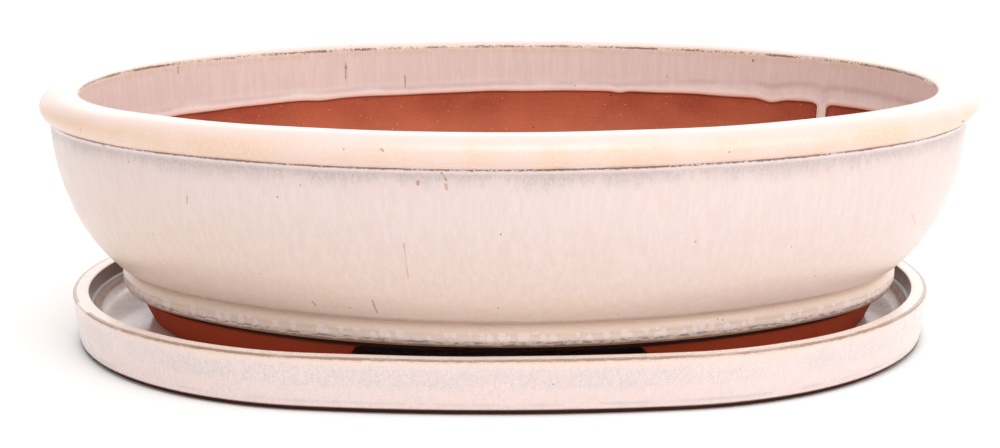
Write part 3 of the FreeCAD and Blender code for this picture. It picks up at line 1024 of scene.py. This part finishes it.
def clay_material(name, light, dark, lower, shaded):
    """Bare red clay: matt, with fine pale grit, a few dark grains and soft clouds.

    lower is its colour low down inside the pot, and shaded, its colour below the band's bottom, is painted
    shade under the pot.
    """
    g = Graph(name, Roughness=0.82, Specular_IOR_Level=0.3)
    place = g.space()
    z = g.split(place)[2]
    cloud = g.noise(place, 0.03, 3, 0.55)
    grain = g.noise(place, 1.2, 4, 0.7)
    surface = g.mix(g.ramp(cloud, 0.35, 0.65), dark, light)
    surface = g.mix(g.product(g.ramp(grain, 0.45, 0.75), 0.35), surface, lower)
    surface = g.mix(g.product(g.ramp(z, 82.0, 60.0), 0.6), surface, lower)
    surface = g.mix(g.product(g.specks(place, 0.85, 0.2, 0.35), 0.7), surface, srgb(214, 150, 118))
    surface = g.mix(g.product(g.specks(place, 0.4, 0.12, 0.35), 0.85), surface, srgb(240, 196, 168))
    surface = g.mix(g.product(g.specks(place, 0.13, 0.07, 0.45), 0.85), surface, srgb(58, 30, 26))
    # Painted shade: below the band's bottom the clay takes the shaded colour.
    surface = g.mix(g.ramp(z, 25.0, 23.0), surface, shaded)
    g.put(surface, g.shader.inputs["Base Color"])
    turned = g.noise(g.space(0.05, 0.05, 1.0), 0.9, 2)
    relief = g.bump(g.math("ADD", grain, g.math("MULTIPLY", turned, 0.8)), 0.12)
    g.put(relief, g.shader.inputs["Normal"])
    return g.material


# ---------------------------------------------------------------- stage

CAMERA_PLACE = (27.03, -812.81, 219.44)
CAMERA_TILT = 77.878            # degrees up from looking straight down
CAMERA_HEADING = 2.129
CAMERA_ROLL = -0.326
CAMERA_LENS = 68.12
WORLD_LEFT = 0.52
WORLD_RIGHT = 0.86
WORLD_BEHIND = 0.8
FLOOR_REACH = 8.0

# Lights: name, place and target in metres, size, power in watts and colour.
LIGHTS = (
    ("front_key", (0.1, -0.9, 1.55), (0, 0, 0.05), (1.3, 0.7), 11.5, (1, 1, 1)),
    ("overhead", (0.0, 0.1, 1.6), (0, 0, 0.05), (1.8, 1.4), 2.0, (1, 1, 1)),
    ("right_box", (1.25, -0.9, 0.85), (0.05, 0, 0.06), (0.7, 0.9), 4.6, (1, 0.98, 0.985)),
    ("left_box", (-0.95, -1.1, 0.8), (-0.05, 0, 0.06), (0.5, 0.7), 0.7, (1, 0.98, 0.96)),
    ("backdrop_light", (0.0, 1.9, 1.3), (0, 1.5, 0), (3.0, 1.0), 12.0, (1, 1, 1)),
)


def add_area(name, location, target, size, power, colour):
    light = bpy.data.lights.new(name, "AREA")
    light.shape = "RECTANGLE"
    light.size, light.size_y = size
    light.energy = power
    light.color = colour
    obj = bpy.data.objects.new(name, light)
    obj.location = location
    way = np.subtract(target, location)
    obj.rotation_euler = (math.atan2(math.hypot(way[0], way[1]), -way[2]), 0, math.atan2(-way[0], way[1]))
    bpy.context.scene.collection.objects.link(obj)


def make_world():
    """A white studio, brighter towards the right and brightest low down behind the pot."""
    world = bpy.data.worlds.new("studio")
    world.use_nodes = True
    tree = world.node_tree
    background = tree.nodes["Background"]
    background.inputs["Color"].default_value = (1.0, 0.99, 0.985, 1.0)
    direction = tree.nodes.new("ShaderNodeTexCoord")
    split = tree.nodes.new("ShaderNodeSeparateXYZ")
    across = tree.nodes.new("ShaderNodeMapRange")
    across.inputs["From Min"].default_value = -1.0
    across.inputs["To Min"].default_value = WORLD_LEFT
    across.inputs["To Max"].default_value = WORLD_RIGHT
    behind = tree.nodes.new("ShaderNodeMapRange")
    behind.interpolation_type = "SMOOTHSTEP"
    behind.inputs["From Min"].default_value = 0.3
    behind.inputs["To Max"].default_value = WORLD_BEHIND
    total = tree.nodes.new("ShaderNodeMath")
    tree.links.new(direction.outputs["Generated"], split.inputs[0])
    tree.links.new(split.outputs[0], across.inputs["Value"])
    tree.links.new(split.outputs[1], behind.inputs["Value"])
    tree.links.new(across.outputs["Result"], total.inputs[0])
    tree.links.new(behind.outputs["Result"], total.inputs[1])
    tree.links.new(total.outputs[0], background.inputs["Strength"])
    bpy.context.scene.world = world


def make_camera():
    camera = bpy.data.cameras.new("camera")
    camera.lens = CAMERA_LENS
    camera.sensor_width = 36.0
    obj = bpy.data.objects.new("camera", camera)
    obj.location = [value * MM for value in CAMERA_PLACE]
    turn = (Euler((0, 0, math.radians(CAMERA_HEADING))).to_matrix()
            @ Euler((math.radians(CAMERA_TILT), 0, 0)).to_matrix()
            @ Euler((0, 0, math.radians(CAMERA_ROLL))).to_matrix())
    obj.rotation_euler = turn.to_euler()
    bpy.context.scene.collection.objects.link(obj)
    bpy.context.scene.camera = obj


def make_floor():
    mesh = bpy.data.meshes.new("floor")
    corners_2d = ((-1, -1), (1, -1), (1, 1), (-1, 1))
    mesh.from_pydata([(x * FLOOR_REACH, y * FLOOR_REACH, 0) for x, y in corners_2d], [], [(0, 1, 2, 3)])
    floor = bpy.data.objects.new("floor", mesh)
    bpy.context.scene.collection.objects.link(floor)
    paper = Graph("white_paper", Roughness=0.9, Base_Color=(0.98, 0.98, 0.98, 1.0))
    floor.data.materials.append(paper.material)


def make_stage():
    make_floor()
    make_world()
    for light in LIGHTS:
        add_area(*light)
    make_camera()
    bpy.context.scene.view_settings.view_transform = "Standard"


# ---------------------------------------------------------------- assembly

def mount(obj, material, body, slot, *nodes):
    obj.data.materials.append(material)
    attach(obj, body)
    if nodes:
        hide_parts(*nodes)


def main():
    low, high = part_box("pot_glaze")
    pot_oval = Oval((high.x - low.x) / MM, (high.y - low.y) / MM, POT_END_RADIUS)
    saucer_oval = Oval(SAUCER_LENGTH - SAUCER_TUCK, SAUCER_WIDTH - SAUCER_TUCK, SAUCER_END_RADIUS,
                       SAUCER_SHIFT_X, SAUCER_TURN)
    # Below the band's bottom the red clay turns near-black: painted shade on the pot's underside.
    inside_clay = clay_material("clay_red", srgb(178, 91, 64), srgb(158, 75, 51), srgb(206, 122, 92),
                                srgb(64, 28, 20))
    # The feet's clay is a darker copy of the pot's clay: painted shade under the band.
    foot_clay_painted_shade = clay_material("clay_dark_painted_shade", srgb(180, 74, 38), srgb(154, 58, 30), srgb(188, 88, 52),
                              srgb(176, 68, 34))
    # The saucer's bare clay is painted near-black brown: painted shade where its foot ring meets the floor.
    base_clay_painted_shade = clay_material("clay_base_painted_shade", srgb(84, 44, 34), srgb(66, 34, 27), srgb(96, 52, 40),
                              srgb(84, 44, 34))
    mount(make_pot_glaze(pot_oval), pot_glaze_material(), "pot", "glaze", "pot_glaze")
    mount(make_pot_wall(pot_oval), inside_clay, "pot", "terracotta", "pot_wall")
    mount(make_pot_floor(pot_oval), inside_clay, "pot", "terracotta", "pot_floor")
    mount(make_foot("foot_left"), foot_clay_painted_shade, "pot", "terracotta", "foot_left")
    mount(make_foot("foot_right"), foot_clay_painted_shade, "pot", "terracotta", "foot_right")
    mount(make_saucer_glaze(saucer_oval), saucer_glaze_material(), "saucer", "glaze", "saucer_glaze")
    body = frame["nodes"]["saucer_body"]
    body.data.materials.clear()
    body.data.materials.append(base_clay_painted_shade)
    make_stage()


main()
